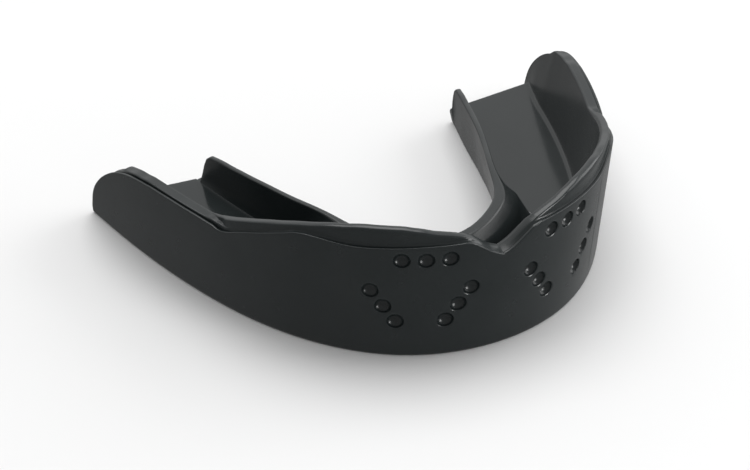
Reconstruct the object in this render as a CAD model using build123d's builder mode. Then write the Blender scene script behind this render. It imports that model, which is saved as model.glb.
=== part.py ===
import os
from math import cos, radians, sin, tan

from build123d import *

# Moulded mouthguard for the upper teeth, in millimetres: a tray of thin plastic with a second
# layer bonded to its outer wall. The front teeth are at -Y, the arms run towards +Y, the flat
# underside is at Z = 0, and left is -X. Every dimension that drives the shape is named here.

# Outer wall at the underside: the right half of the arch, from the front middle backwards.
ARCH_FRONT = (0, -21.84)
ARCH_HALF = [(10.42, -19.37), (18.94, -12.10), (26.09, 1.76), (31.0, 23.05)]
ARCH_REAR_SLOPE = (0.13, 0.99)

# Tongue side of the flange at its ridge: the right half, from the front middle backwards.
FLANGE_FRONT = (0, -10.7)
FLANGE_HALF = [(5.7, -8.5), (9.2, -4.6), (13.1, 6.4), (16.6, 18.6)]
FLANGE_REAR_SLOPE = (0.23, 0.97)

RUN_OUT = 9.0  # both curves run straight on past the rear ends, which are then cut to shape
BLANK_HEIGHT = 20.0
DRAFT = 4.25  # the walls lean outwards as they rise, in degrees

OUTER_LAYER = 0.9
TRAY_FLOOR = 1.9
BITE_PAD = 0.6
# Whole thickness of the wall, outer layer included: it thins quickly above the floor.
WALL_AT_FOOT = 2.9
WALL_AT_MIDDLE = 1.8
WALL_AT_TOP = 1.6
WALL_MIDDLE_HEIGHT = 11.0

FLANGE_HEIGHT = 8.3
FLANGE_LEAN = 0.7  # the ridge stands this much further in than the foot of the tongue side
FLANGE_RIDGE = 1.2
FLANGE_FOOT = 2.2

RAMP_TOP = 6.0  # behind the front teeth, a ramp rises from the floor to the flange
RAMP_HEAD = 1.5  # from the ridge curve to the ramp's upper and lower edges
RAMP_FOOT = 5.4

SEAM = 17.1  # along the outer wall, from the front middle to each upright seam

# Top edges seen from the front (X, Z): they drop into a notch for the lip's frenum.
RIM_FRONT = [(0, 13.3), (1.9, 14.6), (3.9, 16.0), (6.6, 17.0), (9.4, 17.7), (12.9, 17.95)]
BRACE_FRONT = [(0, 13.4), (2.0, 14.8), (3.6, 16.0), (5.0, 16.15), (9.2, 15.85), (16.6, 15.5)]

# Top edges seen from the side (Y, Z): they fall from the eye teeth to a kink, then run level.
RIM_FALL = [(-17.4, 17.95), (-13.5, 17.1), (-8.6, 15.5), (-3.4, 13.4), (-0.7, 12.1)]
PANEL_FALL = [(-18.0, 15.4), (-13.2, 15.75), (-10.6, 15.1), (-4.2, 12.2), (-1.7, 11.25)]
REAR_LEVEL = [(4.0, 11.6), (9.0, 11.5)]
REAR_END = [(15.8, 10.1), (20.5, 6.2), (23.04, 1.2)]
UNDERSIDE_END = (22.9, 0)

# End of the floor and the flange seen from the side (Y, Z).
FLANGE_RUN = [(-22, FLANGE_HEIGHT), (-3.5, FLANGE_HEIGHT), (6.4, 7.85), (17.6, 6.7)]
FLANGE_END = [(19.0, 5.8), (21.4, 0)]
PAD_STEP = -3.9  # the ramp ends and the molar pads begin at this Y

# Decorative blind holes: on each half, an inverted triangle of three rows of three.
HOLE_RADIUS = 1.0
HOLES_PER_ROW = 3
TOP_ROW_MIDDLE = (8.9, 14.0)  # along the outer wall, and up
TOP_ROW_PITCH = 2.63
SIDE_ROWS_MIDDLE = 9.35
SIDE_ROWS_HALF_WIDTH = 5.6
SIDE_ROWS_TOP = 9.45
SIDE_ROWS_STEP = (1.4, 2.15)  # inwards and down, from one hole to the next

CURVE_POINTS = 17
MARGIN = 3.0  # how far the cutting shapes pass the walls


def u_curve(front, half, rear_slope):
    """Curve through the mirrored half points, with a straight run-out at both ends."""
    last = half[-1]
    run_out = (last[0] + RUN_OUT * rear_slope[0], last[1] + RUN_OUT * rear_slope[1])
    right = half + [run_out]
    left = [(-x, y) for x, y in reversed(right)]
    return Spline(*left, front, *right)


def beside(curve, outset):
    """Points evenly along a U-shaped curve, moved outwards by outset."""
    points = []
    for step in range(CURVE_POINTS):
        share = step / (CURVE_POINTS - 1)
        spot = curve.position_at(share)
        along = curve.tangent_at(share)
        points.append((spot.X + outset * along.Y, spot.Y - outset * along.X))
    return points


def u_block(curve, low, high, outset_low, outset_high):
    """Solid that fills a U-shaped curve from one height to another."""
    with BuildPart() as block:
        for height, outset in ((low, outset_low), (high, outset_high)):
            with BuildSketch(Plane.XY.offset(height)):
                with BuildLine():
                    side = Spline(*beside(curve, outset))
                    Line(side @ 1, side @ 0)
                make_face()
        loft(ruled=True)
    return block.part


def wall_block(inset_low, inset_high, low, high):
    """Solid that fills the arch up to so far inside the wall's leaning outer surface."""
    lean = tan(radians(DRAFT))
    return u_block(arch, low, high, low * lean - inset_low, high * lean - inset_high)


def level_block(low, high):
    """Everything between two heights."""
    with BuildPart() as block:
        with BuildSketch(Plane.XY.offset(low)):
            Rectangle(4 * BLANK_HEIGHT, 4 * BLANK_HEIGHT)
        extrude(amount=high - low)
    return block.part


def side_block(top, end):
    """Everything below a top edge and before an end, both drawn from the side."""
    with BuildPart() as block:
        with BuildSketch(Plane.YZ):
            with BuildLine():
                front = (-BLANK_HEIGHT - 2 * MARGIN, top[0][1])
                Line(front, top[0])
                fall = Spline(*top)
                rear = Spline(fall @ 1, *end[:-1])
                Line(rear @ 1, end[-1])
                below = (end[-1][0], -MARGIN)
                Polyline(end[-1], below, (front[0], -MARGIN), front)
            make_face()
        extrude(amount=2 * BLANK_HEIGHT, both=True)
    return block.part


def front_block(top):
    """Everything below a top edge that is drawn from the front, for the right half."""
    with BuildPart() as block:
        with BuildSketch(Plane.XZ):
            with BuildLine():
                edge = Spline(*top)
                far = (2 * BLANK_HEIGHT, top[-1][1])
                Line(edge @ 1, far)
                Polyline(far, (far[0], -MARGIN), (0, -MARGIN), top[0])
            make_face()
        extrude(amount=2 * BLANK_HEIGHT, both=True)
        mirror(about=Plane.YZ)
    return block.part


def wall_plane(along, height, normal_out):
    """Plane on the outer wall, normal to the wall or to the arch's run."""
    length = arch.length / 2 + along
    spot = arch.position_at(length, position_mode=PositionMode.LENGTH)
    run = arch.tangent_at(length, position_mode=PositionMode.LENGTH)
    out = height * tan(radians(DRAFT))
    origin = (spot.X + out * run.Y, spot.Y - out * run.X, height)
    if normal_out:
        tilt = radians(DRAFT)
        return Plane(origin, z_dir=(run.Y * cos(tilt), -run.X * cos(tilt), -sin(tilt)))
    return Plane(origin, z_dir=(run.X, run.Y, 0))


def hole_spots():
    """Places of the right half's holes: along the outer wall from the middle, and up."""
    spots = []
    for number in range(HOLES_PER_ROW):
        spots.append((TOP_ROW_MIDDLE[0] + TOP_ROW_PITCH * (number - 1), TOP_ROW_MIDDLE[1]))
        reach = SIDE_ROWS_HALF_WIDTH - number * SIDE_ROWS_STEP[0]
        height = SIDE_ROWS_TOP - number * SIDE_ROWS_STEP[1]
        spots.append((SIDE_ROWS_MIDDLE - reach, height))
        spots.append((SIDE_ROWS_MIDDLE + reach, height))
    return spots


# ------------------------------------------------------------------- surfaces of the walls
arch = u_curve(ARCH_FRONT, ARCH_HALF, ARCH_REAR_SLOPE)
ridge = u_curve(FLANGE_FRONT, FLANGE_HALF, FLANGE_REAR_SLOPE)

outer_wall = wall_block(0, 0, 0, BLANK_HEIGHT)
bond_wall = wall_block(OUTER_LAYER, OUTER_LAYER, 0, BLANK_HEIGHT)
outer_shell = outer_wall - bond_wall

channel_foot = wall_block(WALL_AT_FOOT, WALL_AT_MIDDLE, 0, WALL_MIDDLE_HEIGHT)
channel_top = wall_block(WALL_AT_MIDDLE, WALL_AT_TOP, WALL_MIDDLE_HEIGHT, BLANK_HEIGHT)
flange_blank = u_block(ridge, 0, FLANGE_HEIGHT, FLANGE_FOOT, FLANGE_RIDGE)
ramp_blank = u_block(ridge, TRAY_FLOOR, RAMP_TOP, RAMP_FOOT, RAMP_HEAD)
tongue_space = u_block(ridge, 0, FLANGE_HEIGHT, FLANGE_LEAN, 0)

below_rim = side_block(RIM_FALL, REAR_LEVEL + REAR_END + [UNDERSIDE_END])
below_panel = side_block(PANEL_FALL, REAR_LEVEL + REAR_END + [UNDERSIDE_END])
below_ridge = side_block(FLANGE_RUN, FLANGE_END)
below_rim_notch = front_block(RIM_FRONT)
below_brace_edge = front_block(BRACE_FRONT)

floor_blank = channel_foot & level_block(0, TRAY_FLOOR)
pad_blank = channel_foot & level_block(TRAY_FLOOR, TRAY_FLOOR + BITE_PAD)

os.makedirs("parts", exist_ok=True)


# ------------------------------------------------------------------------------ inner tray
with BuildPart() as ramp:
    add(ramp_blank)
    split(bisect_by=Plane.XZ.offset(-PAD_STEP), keep=Keep.TOP)

with BuildPart() as inner_tray:
    add(bond_wall)
    add(channel_foot, mode=Mode.SUBTRACT)
    add(channel_top, mode=Mode.SUBTRACT)
    add(below_rim, mode=Mode.INTERSECT)
    add(below_rim_notch, mode=Mode.INTERSECT)
    add((floor_blank + flange_blank + ramp.part - tongue_space) & below_ridge)
inner_tray.part.label = "inner_tray"
export_step(inner_tray.part, "parts/inner_tray.step")


# ---------------------------------------------------------- perforated brace at the front
with BuildPart() as front_brace:
    add(outer_shell)
    add(below_brace_edge, mode=Mode.INTERSECT)
    split(bisect_by=wall_plane(-SEAM, 0, False), keep=Keep.TOP)
    split(bisect_by=wall_plane(SEAM, 0, False), keep=Keep.BOTTOM)
    for side in (-1, 1):
        for along, height in hole_spots():
            with BuildSketch(wall_plane(side * along, height, True)):
                Circle(HOLE_RADIUS)
            extrude(amount=-OUTER_LAYER * 1.5, both=True, mode=Mode.SUBTRACT)
front_brace.part.label = "front_brace"
export_step(front_brace.part, "parts/front_brace.step")


# ------------------------------------------------ side panels, from the seams to the rear
with BuildPart() as right_side_panel:
    add(outer_shell)
    add(below_panel, mode=Mode.INTERSECT)
    split(bisect_by=wall_plane(SEAM, 0, False), keep=Keep.TOP)
right_side_panel.part.label = "right_side_panel"
export_step(right_side_panel.part, "parts/right_side_panel.step")

with BuildPart() as left_side_panel:
    add(right_side_panel.part.mirror(Plane.YZ))
left_side_panel.part.label = "left_side_panel"
export_step(left_side_panel.part, "parts/left_side_panel.step")


# -------------------------------------------------------------------- pads under the molars
with BuildPart() as right_bite_pad:
    add((pad_blank - flange_blank - tongue_space) & below_ridge)
    split(bisect_by=Plane.XZ.offset(-PAD_STEP), keep=Keep.BOTTOM)
    split(bisect_by=Plane.YZ, keep=Keep.TOP)
right_bite_pad.part.label = "right_bite_pad"
export_step(right_bite_pad.part, "parts/right_bite_pad.step")

with BuildPart() as left_bite_pad:
    add(right_bite_pad.part.mirror(Plane.YZ))
left_bite_pad.part.label = "left_bite_pad"
export_step(left_bite_pad.part, "parts/left_bite_pad.step")
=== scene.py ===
from math import cos, pi, radians, sin, tan

import bmesh
import bpy
import numpy as np
from mathutils import Matrix, Vector


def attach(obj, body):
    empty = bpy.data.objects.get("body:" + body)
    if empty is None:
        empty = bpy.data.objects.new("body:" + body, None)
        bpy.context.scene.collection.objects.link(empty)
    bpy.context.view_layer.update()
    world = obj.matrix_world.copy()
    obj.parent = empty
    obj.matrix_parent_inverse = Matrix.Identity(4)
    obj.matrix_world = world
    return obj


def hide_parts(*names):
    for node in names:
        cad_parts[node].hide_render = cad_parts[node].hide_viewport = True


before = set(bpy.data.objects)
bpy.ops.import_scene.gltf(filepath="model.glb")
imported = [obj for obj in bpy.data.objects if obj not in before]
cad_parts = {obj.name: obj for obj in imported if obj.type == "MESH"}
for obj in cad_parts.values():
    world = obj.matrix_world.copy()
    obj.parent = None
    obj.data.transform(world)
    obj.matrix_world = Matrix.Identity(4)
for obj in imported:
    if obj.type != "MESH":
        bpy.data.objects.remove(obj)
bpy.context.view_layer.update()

# A moulded mouthguard. Lengths here are in millimetres in the CAD model's frame, and become
# metres where a mesh is made. "Along" runs round the arch from the front middle, left negative.
MM = 0.001

# ------------------------------------------------------------------ the two curves of the arch
ARCH_FRONT = (0, -21.84)
ARCH_HALF = [(10.42, -19.37), (18.94, -12.10), (26.09, 1.76), (31.0, 23.05)]
ARCH_REAR_SLOPE = (0.13, 0.99)
FLANGE_FRONT = (0, -10.7)
FLANGE_HALF = [(5.6, -8.4), (8.3, -5.7), (10.4, -0.9), (12.9, 5.7), (14.9, 12.1), (16.6, 18.6)]
FLANGE_REAR_SLOPE = (0.23, 0.97)
RUN_OUT = 9.0
STATION_STEP = 0.3
SHARP_ANGLE = radians(33)
LEAN = tan(radians(4.25))  # the walls lean outwards as they rise

# Where a cross-section meets the outer wall and the flange: (along the wall, along the flange).
PAIRS = [(0, 0), (10.8, 4.3), (16.2, 7.0), (22.1, 9.9), (29.2, 13.6), (37.8, 20), (47.9, 28.5), (58.2, 38.4)]

# ----------------------------------------------------------------------------- outer layer
WALL_END = 59.65
SEAM = 17.1
SEAM_GAP = 0.012
SEAM_GROOVE = 0.04
SEAM_REACH = 0.16  # how far the groove at a seam fades out
SEAM_FOOT = 1.2  # the groove fades in above this height, over as much again
SEAM_TOP = 15.0  # and is gone at this height
LAYER = 0.88  # a hair under the CAD's 0.9, so that the bonded faces don't fight
TRAY_FACE = 0.9  # inset of the tray's bonded outer face
LIP = 0.33
LIP_ROUNDING = ([0, 2.5, 4.5], [0.34, 0.2, 0.12])  # it is softer at the front notch
# Depth of the groove behind the lip, along the wall.
GROOVE_DEPTH = [(0, 0.03), (33, 0.03), (36, 0.14), (50, 0.14), (52.5, 0.25), (60, 0.2)]
# Height of the layer's top edge, along the wall.
LAYER_EDGE = [
    (0, 13.2), (1, 13.7), (2, 14.4), (3, 15.2), (4, 15.8), (5, 15.95), (7, 15.95), (13, 15.7), (17.1, 15.5),
    (21.6, 15.76), (23.4, 15.6), (24.7, 15.1), (28, 13.75), (31.7, 12.2), (33.4, 11.45), (34.4, 11.27),
    (35.5, 11.5), (40, 11.6), (45, 11.5), (48, 11.2),
]
END_STARTS = 46.5  # where the top edge leaves its gentle line for the curve down its end
LAYER_END = [(45, 11.5), (48, 11.2), (51, 10.55), (54.4, 8.8), (57.3, 6.2), (59.0, 3.6), (WALL_END, 1.2)]

# ------------------------------------------------------------------------------ inner tray
# Height of the wall's top, along the wall.
RIM = [
    (0, 13.35), (1, 13.9), (2, 14.65), (3, 15.5), (4, 16.15), (5, 16.6), (8, 17.3), (10, 17.78),
    (12.5, 18.03), (14.5, 18.0), (18, 17.6), (22, 16.75), (26, 15.58), (30, 14.2), (34, 12.72),
    (36, 12.03), (36.7, 11.88), (40, 11.85), (46, 11.75), (48, 11.5), (50.7, 11.0), (53, 9.6),
    (55.4, 7.05), (57.6, 3.7), (58.4, 2.3), (WALL_END, 0.7),
]
FLOOR = 1.9
FLOOR_END = 58.2
FLOOR_END_ROUNDING = 0.4
FLOOR_END_CUTS = [0.4, 0.28, 0.18, 0.1, 0.05, 0.02, 0]  # stations before the floor's rounded end
FOOT_TOP = 3.2  # where the wall's inner face turns into its foot
FOOT_STEP = 0.14
# Inset of the wall's inner face where it meets the floor, along the wall.
WALL_FOOT = [(0, 2.74), (50, 2.74), (55, 2.45), (58.2, 1.95), (WALL_END, 1.8)]
# Height of the flange's top, by Y from front to rear.
FLANGE_TOP = [
    (-22, 8.3), (-3.5, 8.25), (5.7, 7.8), (12.1, 7.25), (15, 6.95), (18.5, 6.55), (19.3, 6.1), (19.8, 5.1),
    (20.15, 3.7), (20.3, 2.3),
]
# How far outwards of its top edge the flange's foot lies, along the flange.
FLANGE_LEAN = [(0, 1.4), (18, 1.4), (26, 0.9), (36, 0.4), (39, 0.4)]
RIDGE = [(0, 1.3), (9, 1.25), (13, 0.95), (18, 0.75), (40, 0.7)]  # its thickness, along the flange
# The slope from the flange to the channel floor: (along the flange, outset, height) of its top,
# and (along the flange, outset) of its foot.
RAMP_HEAD = [
    (0, 2.9, 7.4), (10, 2.9, 7.3), (13.5, 2.4, 6.2), (17.4, 1.45, 3.6), (19, 1.1, 3.2), (38, 1.0, 3.0),
]
RAMP_FOOT = [(0, 5.6), (12, 5.6), (13.6, 5.0), (15.5, 3.7), (17.4, 2.45), (18.8, 1.55), (38, 1.5)]

# -------------------------------------------------------------------------------- bite pads
PAD = 0.6
PAD_START = 26.5
PAD_START_ROUNDING = 0.5
PAD_END = FLOOR_END - 0.1
PAD_END_ROUNDING = 0.3
PAD_END_CUTS = [0.35, 0.25, 0.16, 0.09, 0.04, 0.01]  # stations close to each end
PAD_SINK = 0.1  # how deep it sits in the floor
PAD_UPTURN = 0.9  # how far its edge climbs the wall
# Outset of the pad's inner edge, along the flange.
PAD_INNER = [(11, 6.7), (13.6, 4.9), (15.5, 3.62), (17.4, 2.35), (18.8, 1.25), (38, 1.15)]

# ------------------------------------------------------------------------------------ holes
HOLE_RADIUS = 1.0
HOLE_DEPTH = 0.8
HOLE_FLARE = 0.12
HOLE_RINGS = 12
HOLE_SIDES = 48
TOP_ROW_MIDDLE = (8.9, 14.0)
TOP_ROW_PITCH = 2.63
SIDE_ROWS_MIDDLE = 9.35
SIDE_ROWS_HALF_WIDTH = 5.6
SIDE_ROWS_TOP = 9.45
SIDE_ROWS_STEP = (1.4, 2.15)

# The wall's top in section, at stations along the arch. Each corner is (inset from the outer
# face, share of the way up from the outer layer's edge to the rim, extra height, rounding).
TOP_SECTIONS = [
    (0.8, [(.36, 0, -.02, .02), (.5, .2, 0, .2), (.7, .5, .02, .3), (.9, .8, .03, .3), (1.2, .95, .03, .3),
           (1.55, 1, .02, .25), (1.8, 1, -.1, .2), (1.95, 1, -.5, .2)]),
    (4.6, [(.36, 0, -.02, .02), (.46, .15, 0, .1), (.52, .4, 0, .3), (.56, .7, 0, .3), (.68, .93, 0, .25),
           (1.05, 1, 0, .35), (1.55, 1, -.05, .3), (1.76, 1, -.45, .3)]),
    (12, [(.36, 0, -.02, .02), (.46, .12, 0, .1), (.52, .4, 0, .3), (.55, .76, 0, .3), (.68, .94, 0, .25),
          (1.05, 1, 0, .35), (1.55, 1, -.05, .3), (1.76, 1, -.45, .3)]),
    (23, [(.36, 0, -.02, .02), (.46, .12, 0, .1), (.52, .4, 0, .3), (.55, .74, 0, .3), (.68, .94, 0, .25),
          (1.05, 1, 0, .35), (1.5, 1, -.04, .3), (1.74, 1, -.4, .3)]),
    (32.6, [(.36, 0, -.02, .02), (.41, .1, 0, .05), (.43, .2, 0, .1), (.47, .35, 0, .2), (.62, .95, 0, .15),
            (1.0, 1, 0, .3), (1.5, 1, -.03, .3), (1.73, 1, -.3, .2)]),
    (33.3, [(.36, 0, -.02, .02), (.41, .24, 0, .05), (.45, .28, 0, .05), (.52, .29, 0, .05),
            (.66, .95, 0, .15), (1.05, 1, 0, .25), (1.5, 1, -.03, .2), (1.73, 1, -.25, .2)]),
    (34.8, [(.42, 0, -.05, .05), (.44, .42, 0, .05), (.52, .5, 0, .05), (1.0, .5, 0, .1), (1.12, .92, 0, .1),
            (1.35, 1, 0, .15), (1.58, 1, -.03, .15), (1.73, 1, -.2, .1)]),
    (36.5, [(.43, 0, -.05, .05), (.46, .7, 0, .08), (.58, .9, 0, .08), (1.42, .9, 0, .1), (1.48, .95, 0, .05),
            (1.55, 1, 0, .06), (1.66, 1, -.02, .06), (1.73, 1, -.12, .06)]),
    (49, [(.43, 0, -.05, .05), (.46, .7, 0, .08), (.6, .9, 0, .08), (1.35, .95, 0, .1), (1.45, 1, 0, .05),
          (1.55, 1, 0, .06), (1.66, 1, -.02, .06), (1.73, 1, -.12, .06)]),
    (52.5, [(.55, 0, -.1, .05), (.7, .1, 0, .08), (.85, .4, 0, .1), (1.1, .9, 0, .1), (1.35, 1, 0, .08),
            (1.5, 1, 0, .06), (1.66, 1, -.02, .06), (1.73, 1, -.12, .06)]),
    (56, [(.46, 0, -.05, .05), (.52, .4, 0, .08), (.62, .8, 0, .08), (1.0, .95, 0, .1), (1.35, 1, 0, .08),
          (1.5, 1, 0, .06), (1.66, 1, -.02, .06), (1.73, 1, -.12, .06)]),
]


def smooth(points):
    """Function through (place, value) points that doesn't swing past them."""
    place, value = np.array(points, float).T
    step = np.diff(place)
    slope = np.diff(value) / step
    both = slope[:-1] * slope[1:]
    total = slope[:-1] + slope[1:]
    middle = np.where(both > 0, 2 * both / np.where(total == 0, 1, total), 0)
    slopes = np.concatenate([slope[:1], middle, slope[-1:]])

    def value_at(where):
        where = np.clip(where, place[0], place[-1])
        span = np.clip(np.searchsorted(place, where, side="right") - 1, 0, len(step) - 1)
        t = (where - place[span]) / step[span]
        start = value[span] + t * step[span] * slopes[span]
        end = value[span + 1] - (1 - t) * step[span] * slopes[span + 1]
        ease = t * t * (3 - 2 * t)
        return start + (end - start) * ease

    return value_at


def natural_spline(points, per_span=300):
    """Dense points along the natural cubic through plane points."""
    points = np.array(points, float)
    width = np.linalg.norm(np.diff(points, axis=0), axis=1)
    count = len(points)
    system = np.eye(count)
    right = np.zeros((count, 2))
    for i in range(1, count - 1):
        system[i, i - 1 : i + 2] = width[i - 1], 2 * (width[i - 1] + width[i]), width[i]
        rise = (points[i + 1] - points[i]) / width[i] - (points[i] - points[i - 1]) / width[i - 1]
        right[i] = 6 * rise
    bend = np.linalg.solve(system, right)
    spans = []
    for i in range(count - 1):
        w = width[i]
        t = np.linspace(0, w, per_span, endpoint=i == count - 2)[:, None]
        ends = (points[i] / w - bend[i] * w / 6) * (w - t) + (points[i + 1] / w - bend[i + 1] * w / 6) * t
        spans.append(bend[i] * (w - t) ** 3 / (6 * w) + bend[i + 1] * t**3 / (6 * w) + ends)
    return np.concatenate(spans)


class Run:
    """A U-shaped curve in plan, measured along itself from the front middle."""

    def __init__(self, front, half, rear_slope):
        last = half[-1]
        right = half + [(last[0] + RUN_OUT * rear_slope[0], last[1] + RUN_OUT * rear_slope[1])]
        left = [(-x, y) for x, y in reversed(right)]
        self.spots = natural_spline(left + [front] + right)
        length = np.concatenate([[0], np.cumsum(np.linalg.norm(np.diff(self.spots, axis=0), axis=1))])
        self.along = length - length[-1] / 2
        run = np.gradient(self.spots, self.along, axis=0)
        run /= np.linalg.norm(run, axis=1)[:, None]
        self.outward = np.stack([run[:, 1], -run[:, 0]], axis=1)

    def at(self, along, outset, height):
        """Points at a distance along the curve, moved outwards, at a height."""
        along, outset, height = np.broadcast_arrays(np.asarray(along, float), outset, height)
        point = np.zeros(along.shape + (3,))
        for axis in (0, 1):
            spot = np.interp(along, self.along, self.spots[:, axis])
            point[..., axis] = spot + outset * np.interp(along, self.along, self.outward[:, axis])
        point[..., 2] = height
        return point

    def depth(self, along):
        """Y at a distance along the curve."""
        return np.interp(along, self.along, self.spots[:, 1])


arch = Run(ARCH_FRONT, ARCH_HALF, ARCH_REAR_SLOPE)
ridge = Run(FLANGE_FRONT, FLANGE_HALF, FLANGE_REAR_SLOPE)
groove_depth = smooth(GROOVE_DEPTH)
layer_run = smooth(LAYER_EDGE)
layer_end = natural_spline(LAYER_END)
rim = smooth(RIM)


def layer_edge(place):
    """Height of the outer layer's top edge: a gentle line, then the curve down its end."""
    return np.where(place < END_STARTS, layer_run(place), np.interp(place, layer_end[:, 0], layer_end[:, 1]))


def wall(along, inset, height):
    """Points at an inset behind the wall's leaning outer face."""
    return arch.at(along, height * LEAN - inset, height)


def mixed(sections, along):
    """The wall's top corners at each place along the arch, between the listed sections."""
    places = [place for place, corners in sections]
    table = np.array([corners for place, corners in sections])
    place = np.clip(np.abs(along), places[0], places[-1])
    span = np.clip(np.searchsorted(places, place, side="right") - 1, 0, len(places) - 2)
    low = np.array(places)[span]
    t = (place - low) / (np.array(places)[span + 1] - low)
    ease = (t * t * (3 - 2 * t))[:, None, None]
    return table[span] * (1 - ease) + table[span + 1] * ease


def rounded(corners, steps=4):
    """Rows of points round closed sections. Each corner is (points, rounding, cuts after it)."""
    points = np.stack([corner[0] for corner in corners])
    before = np.roll(points, 1, axis=0) - points
    after = np.roll(points, -1, axis=0) - points
    length_before = np.maximum(np.linalg.norm(before, axis=2), 1e-6)
    length_after = np.maximum(np.linalg.norm(after, axis=2), 1e-6)
    starts, ends = [], []
    for i, (spot, radius, cuts) in enumerate(corners):
        reach = np.minimum(radius, np.minimum(0.46 * length_before[i], 0.46 * length_after[i]))
        starts.append(spot + before[i] * (reach / length_before[i])[:, None])
        ends.append(spot + after[i] * (reach / length_after[i])[:, None])
    rows, first = [], []
    for i, (spot, radius, cuts) in enumerate(corners):
        first.append(len(rows))
        turns = steps if np.max(radius) > 0 else 0
        for k in range(turns + 1):
            t = k / max(turns, 1)
            rows.append((1 - t) ** 2 * starts[i] + 2 * t * (1 - t) * spot + t * t * ends[i])
        following = starts[(i + 1) % len(corners)]
        if cuts:
            shares = np.concatenate([[0.02], np.arange(1, cuts) / cuts, [0.98]])
            for share in shares:
                rows.append(ends[i] * (1 - share) + following * share)
    return np.stack(rows, axis=1), first


def evenly(start, end):
    """Stations along the arch, closer where the wall's top edge is steep."""
    fine = np.linspace(start, end, 4000)
    climb = np.abs(np.diff(layer_edge(np.abs(fine))))
    length = np.concatenate([[0], np.cumsum(np.hypot(np.diff(fine), climb))])
    count = int(np.ceil(length[-1] / STATION_STEP)) + 1
    return np.interp(np.linspace(0, length[-1], count), length, fine)


def make_object(name, points, faces, material):
    """Smooth-shaded mesh object from points in millimetres."""
    mesh = bpy.data.meshes.new(name)
    mesh.from_pydata((points * MM).tolist(), [], faces)
    solid = bmesh.new()
    solid.from_mesh(mesh)
    bmesh.ops.recalc_face_normals(solid, faces=solid.faces[:])
    solid.to_mesh(mesh)
    solid.free()
    mesh.materials.append(material)
    piece = bpy.data.objects.new(name, mesh)
    bpy.context.scene.collection.objects.link(piece)
    finish_shading(mesh)
    return piece


def finish_shading(mesh):
    """Smooth faces, with edges kept where the turn is sharp."""
    mesh.polygons.foreach_set("use_smooth", [True] * len(mesh.polygons))
    mesh.set_sharp_from_angle(angle=SHARP_ANGLE)
    mesh.update()


def tube_faces(stations, rows):
    """Quads round a swept closed section, and a face at each end."""
    faces = []
    for i in range(stations - 1):
        for j in range(rows):
            k = (j + 1) % rows
            faces.append((i * rows + j, i * rows + k, (i + 1) * rows + k, (i + 1) * rows + j))
    faces.append(tuple(range(rows)))
    faces.append(tuple((stations - 1) * rows + j for j in range(rows)))
    return faces


# -------------------------------------------------------------------------------- materials
ROUGHNESS_SPREAD = 0.025
GRAIN_HEIGHT = 0.00002  # metres


def plastic(name, dark, light, rough, grain):
    """Satin near-black moulded plastic with faint mottling and a fine grain."""
    material = bpy.data.materials.new(name)
    material.use_nodes = True
    nodes = material.node_tree.nodes
    links = material.node_tree.links
    shader = nodes["Principled BSDF"]
    shader.inputs["Specular IOR Level"].default_value = 0.5
    place = nodes.new("ShaderNodeTexCoord")

    mottle = nodes.new("ShaderNodeTexNoise")
    mottle.inputs["Scale"].default_value = 140
    mottle.inputs["Detail"].default_value = 5
    links.new(place.outputs["Object"], mottle.inputs["Vector"])
    tint = nodes.new("ShaderNodeValToRGB")
    tint.color_ramp.elements[0].position = 0.35
    tint.color_ramp.elements[0].color = dark
    tint.color_ramp.elements[1].position = 0.68
    tint.color_ramp.elements[1].color = light
    links.new(mottle.outputs["Fac"], tint.inputs["Fac"])
    links.new(tint.outputs["Color"], shader.inputs["Base Color"])

    handling = nodes.new("ShaderNodeTexNoise")
    handling.inputs["Scale"].default_value = 420
    handling.inputs["Detail"].default_value = 4
    links.new(place.outputs["Object"], handling.inputs["Vector"])
    spread = nodes.new("ShaderNodeMapRange")
    spread.inputs["From Min"].default_value = 0.3
    spread.inputs["From Max"].default_value = 0.7
    spread.inputs["To Min"].default_value = rough - ROUGHNESS_SPREAD
    spread.inputs["To Max"].default_value = rough + ROUGHNESS_SPREAD
    links.new(handling.outputs["Fac"], spread.inputs["Value"])
    links.new(spread.outputs["Result"], shader.inputs["Roughness"])

    skin = nodes.new("ShaderNodeTexNoise")
    skin.inputs["Scale"].default_value = 5200
    skin.inputs["Detail"].default_value = 3
    links.new(place.outputs["Object"], skin.inputs["Vector"])
    bump = nodes.new("ShaderNodeBump")
    bump.inputs["Strength"].default_value = grain
    bump.inputs["Distance"].default_value = GRAIN_HEIGHT
    links.new(skin.outputs["Fac"], bump.inputs["Height"])
    links.new(bump.outputs["Normal"], shader.inputs["Normal"])
    return material


TRAY_DARK = (0.0110, 0.0150, 0.0155, 1)
TRAY_LIGHT = (0.0145, 0.0185, 0.019, 1)
LAYER_DARK = (0.0105, 0.0145, 0.015, 1)
LAYER_LIGHT = (0.014, 0.018, 0.0185, 1)
tray_plastic = plastic("tray_plastic", TRAY_DARK, TRAY_LIGHT, rough=0.23, grain=0.12)
pad_plastic = plastic("pad_plastic", TRAY_DARK, TRAY_LIGHT, rough=0.13, grain=0.08)
layer_plastic = plastic("outer_layer_plastic", LAYER_DARK, LAYER_LIGHT, rough=0.25, grain=0.12)


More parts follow.
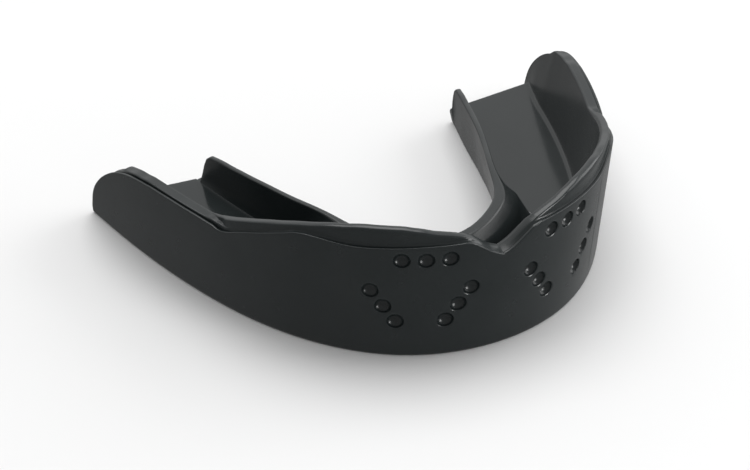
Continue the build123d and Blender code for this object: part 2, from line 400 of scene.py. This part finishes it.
# ------------------------------------------------------------------------------ outer layer
def layer_points(along):
    """Sections of the outer layer: face, lip, the groove behind the lip, and bonded side."""
    place = np.abs(along)
    top = layer_edge(place)
    slope = np.abs(np.gradient(top, place + 1e-9 * np.arange(len(place))))
    slope = np.where(np.isfinite(slope), slope, 0)
    stretch = np.sqrt(1 + np.minimum(slope, 3) ** 2)
    soft = np.interp(place, *LIP_ROUNDING)
    depth = np.minimum(groove_depth(place) * stretch, 0.5 * top)
    corners = [
        (wall(along, LAYER, 0), 0, 2),
        (wall(along, 0, 0), 0.3, 44),
        (wall(along, 0, top), soft * stretch, 0),
        (wall(along, LIP, top), 0.07, 0),
        (wall(along, LIP + 0.02, top - depth), 0, 0),
        (wall(along, LAYER, top - depth - 0.05), 0, 6),
    ]
    return rounded(corners)[0]


def layer_piece(name, start, end, seams):
    """One piece of the outer layer, with a faint groove where it meets a seam."""
    along = evenly(start, end)
    extra = []
    for seam in seams:
        inwards = 1 if abs(seam - start) < abs(seam - end) else -1
        extra += [seam + inwards * reach for reach in (0.04, 0.09, SEAM_REACH)]
    along = np.unique(np.concatenate([along, extra]))
    points = layer_points(along)
    for seam in seams:
        near = np.clip(1 - np.abs(along - seam) / SEAM_REACH, 0, 1) ** 2
        outward = np.stack([np.interp(along, arch.along, arch.outward[:, axis]) for axis in (0, 1)], axis=1)
        height = points[:, :, 2]
        fade = np.clip((height - SEAM_FOOT) / SEAM_FOOT, 0, 1) * np.clip(SEAM_TOP - height, 0, 1)
        shift = (SEAM_GROOVE * near)[:, None] * fade
        points[:, :, :2] -= outward[:, None, :] * shift[:, :, None]
    stations, rows = points.shape[:2]
    return make_object(name, points.reshape(-1, 3), tube_faces(stations, rows), layer_plastic)


def hole_spots():
    """Places of the right half's holes: along the wall from the middle, and up."""
    spots = []
    for number in range(3):
        spots.append((TOP_ROW_MIDDLE[0] + TOP_ROW_PITCH * (number - 1), TOP_ROW_MIDDLE[1]))
        reach = SIDE_ROWS_HALF_WIDTH - number * SIDE_ROWS_STEP[0]
        height = SIDE_ROWS_TOP - number * SIDE_ROWS_STEP[1]
        spots.append((SIDE_ROWS_MIDDLE - reach, height))
        spots.append((SIDE_ROWS_MIDDLE + reach, height))
    return spots


def hole_cutters():
    """Turned cutters with a flared mouth, one at each hole."""
    mouth = HOLE_RADIUS + HOLE_FLARE
    profile = [(0.25, mouth + 0.45), (0.03, mouth + 0.05), (-0.02, mouth - 0.03), (-0.07, HOLE_RADIUS)]
    for k in range(1, HOLE_RINGS):
        turn = radians(90 * k / HOLE_RINGS + 4)
        profile.append((-HOLE_DEPTH * sin(turn), HOLE_RADIUS * max(cos(turn), 0.02)))
    around = HOLE_SIDES
    points, faces = [], []
    for side in (-1, 1):
        for along, height in hole_spots():
            middle = wall(side * along, 0, height)
            ahead = wall(side * along + 0.05, 0, height) - wall(side * along - 0.05, 0, height)
            above = wall(side * along, 0, height + 0.5) - middle
            ahead /= np.linalg.norm(ahead)
            above /= np.linalg.norm(above)
            out = np.cross(ahead, above)
            base = len(points)
            for reach, radius in profile:
                for k in range(around):
                    turn = 2 * pi * k / around
                    points.append(middle + out * reach + radius * (cos(turn) * ahead + sin(turn) * above))
            for ring in range(len(profile) - 1):
                for k in range(around):
                    a = base + ring * around + k
                    b = base + ring * around + (k + 1) % around
                    faces.append((a, b, b + around, a + around))
            faces.append(tuple(base + k for k in range(around)))
            faces.append(tuple(base + (len(profile) - 1) * around + k for k in range(around)))
    return make_object("hole_cutters", np.array(points), faces, layer_plastic)


half_gap = SEAM_GAP / 2
brace_end = SEAM - half_gap
brace = layer_piece("front_brace_skin", -brace_end, brace_end, (-brace_end, brace_end))
cutters = hole_cutters()
cut = brace.modifiers.new("holes", "BOOLEAN")
cut.object = cutters
cut.operation = "DIFFERENCE"
cut.solver = "EXACT"
bpy.context.view_layer.update()
cut_mesh = bpy.data.meshes.new_from_object(brace.evaluated_get(bpy.context.evaluated_depsgraph_get()))
brace.modifiers.clear()
brace.data = cut_mesh
finish_shading(cut_mesh)
bpy.data.objects.remove(cutters)

right_panel = layer_piece("right_side_panel_skin", SEAM + half_gap, WALL_END, (SEAM + half_gap,))
left_panel = layer_piece("left_side_panel_skin", -WALL_END, -SEAM - half_gap, (-SEAM - half_gap,))


# ------------------------------------------------------------------------------- inner tray
flange_along = smooth(PAIRS)
flange_top = smooth(FLANGE_TOP)
ridge_width = smooth(RIDGE)
ramp_head_out = smooth([(a, b) for a, b, c in RAMP_HEAD])
ramp_head_up = smooth([(a, c) for a, b, c in RAMP_HEAD])
ramp_foot = smooth(RAMP_FOOT)
flange_lean = smooth(FLANGE_LEAN)
wall_foot = smooth(WALL_FOOT)


def end_drop(place, end, radius):
    """How far a rounded end has dropped at each place."""
    x = np.clip(place - (end - radius), 0, radius)
    return radius - np.sqrt(radius**2 - x**2)


def tray():
    half = evenly(0, WALL_END)
    ends = FLOOR_END - np.array(FLOOR_END_CUTS)
    half = half[np.min(np.abs(half[:, None] - ends), axis=1) > 0.04]
    half = np.unique(np.concatenate([half, ends]))
    along = np.concatenate([-half[:0:-1], half])
    place = np.abs(along)
    side = np.where(along < 0, -1, 1)
    last = len(half) - 1 + int(np.argmin(np.abs(half - FLOOR_END)))
    first = len(along) - 1 - last

    edge = layer_edge(place)
    top = rim(place)
    section = mixed(TOP_SECTIONS, along)
    foot = section[:, 0, 1] * (top - edge) + edge + section[:, 0, 2]
    groove = np.maximum(np.minimum(foot - 0.01, edge - np.minimum(groove_depth(place), 0.3 * edge)), 0.3)
    corners = [
        (wall(along, TRAY_FACE, 0), 0, 12),
        (wall(along, TRAY_FACE, groove - 0.03), 0, 0),
    ]
    corners.append((wall(along, section[:, 0, 0], groove), 0, 0))
    last_corner = section.shape[1] - 1
    for k in range(last_corner + 1):
        inset, share, extra, rounding = section[:, k].T
        height = np.maximum(edge + share * (top - edge) + extra, groove + 0.02 * (k + 1))
        corners.append((wall(along, inset, height), rounding, 10 if k == last_corner else 0))

    lowest = corners[-1][0][:, 2]
    low = np.maximum(np.minimum(FOOT_TOP, lowest - 0.25), 0.15)
    drop = end_drop(np.minimum(place, FLOOR_END), FLOOR_END, FLOOR_END_ROUNDING)
    floor = FLOOR - drop
    t = flange_along(np.minimum(place, FLOOR_END))
    height = flange_top(ridge.depth(t)) - drop
    head_up = np.minimum(ramp_head_up(t), floor + 0.8 * np.maximum(height - floor, 0.05))
    wide = ridge_width(t)
    t = t * side
    a = np.abs(t)
    corners.append((wall(along, wall_foot(place) - FOOT_STEP, low), 0.1, 4))
    low_corner = len(corners) - 1
    corners += [
        (wall(along, wall_foot(place), np.minimum(floor, low - 0.05)), 0.5, 10),
        (ridge.at(t, ramp_foot(a), floor), 0.5, 4),
        (ridge.at(t, ramp_head_out(a), head_up), 0.6, 6),
        (ridge.at(t, wide, height), 0.22, 2),
        (ridge.at(t, 0.0, height), 0.34, 8),
        (ridge.at(t, flange_lean(a), 0 * a), 0.3, 12),
    ]
    corners.append((wall(along, wall_foot(place), 0 * place), 0, 6))
    rows, starts = rounded(corners)
    count = rows.shape[1]
    low_row = starts[low_corner] + 4
    under_row = starts[-1]
    faces = []
    for i in range(len(along) - 1):
        whole = first <= i < last
        for j in range(count):
            k = (j + 1) % count
            if not whole and low_row <= j < under_row:
                continue
            faces.append((i * count + j, i * count + k, (i + 1) * count + k, (i + 1) * count + j))
        if not whole:
            ahead = (i + 1) * count
            faces.append((i * count + low_row, i * count + under_row, ahead + under_row, ahead + low_row))
    for i in (first, last):
        faces.append(tuple(i * count + j for j in range(low_row, under_row + 1)))
    for i in (0, len(along) - 1):
        faces.append(tuple(i * count + j for j in range(count) if j <= low_row or j >= under_row))
    points = rows.reshape(-1, 3)
    used = np.unique(np.concatenate([np.array(face) for face in faces]))
    renumber = np.full(len(points), -1)
    renumber[used] = np.arange(len(used))
    faces = [tuple(int(renumber[v]) for v in face) for face in faces]
    return make_object("inner_tray_skin", points[used], faces, tray_plastic)


tray_skin = tray()


# -------------------------------------------------------------------------------- bite pads
pad_inner = smooth(PAD_INNER)


def pad(name, side):
    """Floor layer under the molars, with its outer edge feathered up the wall."""
    half = evenly(PAD_START, PAD_END)
    half = np.concatenate([half, PAD_START + np.array(PAD_END_CUTS[::-1])])
    half = np.unique(np.concatenate([half, PAD_END - np.array(PAD_END_CUTS)]))
    along = side * half
    t = flange_along(half)
    end_drops = end_drop(half, PAD_END, PAD_END_ROUNDING), end_drop(-half, -PAD_START, PAD_START_ROUNDING)
    top = FLOOR + PAD - end_drops[0] - end_drops[1]
    under = FLOOR - PAD_SINK + 0 * t
    corners = [
        (ridge.at(side * t, pad_inner(t), under), 0, 1),
        (ridge.at(side * t, pad_inner(t), top), np.interp(t, [17.4, 19], [0.3, 0.08]), 10),
        (wall(along, wall_foot(half) - 0.05, top), 0.6, 2),
        (wall(along, wall_foot(half) - 0.24, top + PAD_UPTURN), 0, 0),
        (wall(along, wall_foot(half) - 0.3, under), 0, 2),
    ]
    rows = rounded(corners)[0]
    stations, count = rows.shape[:2]
    return make_object(name, rows.reshape(-1, 3), tube_faces(stations, count), pad_plastic)


right_pad = pad("right_bite_pad_skin", 1)
left_pad = pad("left_bite_pad_skin", -1)

for piece, node, slot in (
    (tray_skin, "inner_tray", "tray_plastic"),
    (brace, "front_brace", "outer_layer_plastic"),
    (right_panel, "right_side_panel", "outer_layer_plastic"),
    (left_panel, "left_side_panel", "outer_layer_plastic"),
    (right_pad, "right_bite_pad", "tray_plastic"),
    (left_pad, "left_bite_pad", "tray_plastic"),
):
    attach(piece, "root")
    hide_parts(node)


# ----------------------------------------------------------------------- floor, light, camera
floor_material = bpy.data.materials.new("studio_floor")
floor_material.use_nodes = True
floor_shader = floor_material.node_tree.nodes["Principled BSDF"]
floor_shader.inputs["Base Color"].default_value = (0.8, 0.8, 0.8, 1)
floor_shader.inputs["Roughness"].default_value = 0.9
floor_shader.inputs["Specular IOR Level"].default_value = 0.0
bpy.ops.mesh.primitive_plane_add(size=1.2, location=(0, 0, 0))
studio_floor = bpy.context.object
studio_floor.name = "studio_floor"
studio_floor.data.materials.append(floor_material)
studio_floor.visible_glossy = False

world = bpy.data.worlds.new("studio")
world.use_nodes = True
world_nodes = world.node_tree.nodes
world_links = world.node_tree.links
heading = world_nodes.new("ShaderNodeTexCoord")


def sweep_of_sky(direction, start, end, low, high):
    """Brightness that rises smoothly from low to high towards a direction of the room."""
    dot = world_nodes.new("ShaderNodeVectorMath")
    dot.operation = "DOT_PRODUCT"
    dot.inputs[1].default_value = direction
    world_links.new(heading.outputs["Generated"], dot.inputs[0])
    ramp = world_nodes.new("ShaderNodeMapRange")
    ramp.interpolation_type = "SMOOTHSTEP"
    for name, value in (("From Min", start), ("From Max", end), ("To Min", low), ("To Max", high)):
        ramp.inputs[name].default_value = value
    world_links.new(dot.outputs["Value"], ramp.inputs["Value"])
    return ramp.outputs["Result"]


# A room with a bright back wall and ceiling, a dimmer front, and a table below.
above = sweep_of_sky((0.3, 0.85, 0.42), -0.1, 0.75, 0.35, 0.88)
below = sweep_of_sky((1, 0.25, 0), 0.1, 0.9, 0.28, 0.37)
split = sweep_of_sky((0, 0, 1), -0.12, 0.12, 0.0, 1.0)
blend = world_nodes.new("ShaderNodeMix")
world_links.new(split, blend.inputs["Factor"])
world_links.new(below, blend.inputs["A"])
world_links.new(above, blend.inputs["B"])
world_links.new(blend.outputs["Result"], world_nodes["Background"].inputs["Strength"])
world_nodes["Background"].inputs["Color"].default_value = (1, 1, 1, 1)
bpy.context.scene.world = world


def soft_light(name, place, aim, size, watts):
    """Square area light at a place, turned to an aim point."""
    lamp = bpy.data.lights.new(name, "AREA")
    lamp.shape = "SQUARE"
    lamp.size = size
    lamp.energy = watts
    holder = bpy.data.objects.new(name, lamp)
    holder.location = place
    holder.rotation_euler = (Vector(aim) - Vector(place)).to_track_quat("-Z", "Y").to_euler()
    bpy.context.scene.collection.objects.link(holder)


soft_light("key_right", (0.6, -0.08, 0.25), (0, 0, 0.005), 0.6, 2.2)
soft_light("top", (0.05, 0.2, 0.7), (0, 0, 0.005), 0.6, 3.2)
# Low at the front right, for the bright sides of the holes.
soft_light("edge_right", (0.41, -0.56, 0.08), (0, 0, 0.008), 0.24, 1.7)

camera_data = bpy.data.cameras.new("camera")
camera_data.sensor_width = 36
camera_data.lens = 142.4
camera_data.clip_start = 0.01
camera_data.clip_end = 10
camera = bpy.data.objects.new("camera", camera_data)
eye = Vector((-0.1388, -0.2544, 0.2064))
target = Vector((-0.00658, -0.00409, 0.006))
facing = (target - eye).to_track_quat("-Z", "Y")
camera.rotation_euler = (facing.to_matrix() @ Matrix.Rotation(radians(0.71), 3, "Z")).to_euler()
camera.location = eye
bpy.context.scene.collection.objects.link(camera)
bpy.context.scene.camera = camera
bpy.context.scene.view_settings.view_transform = "Standard"
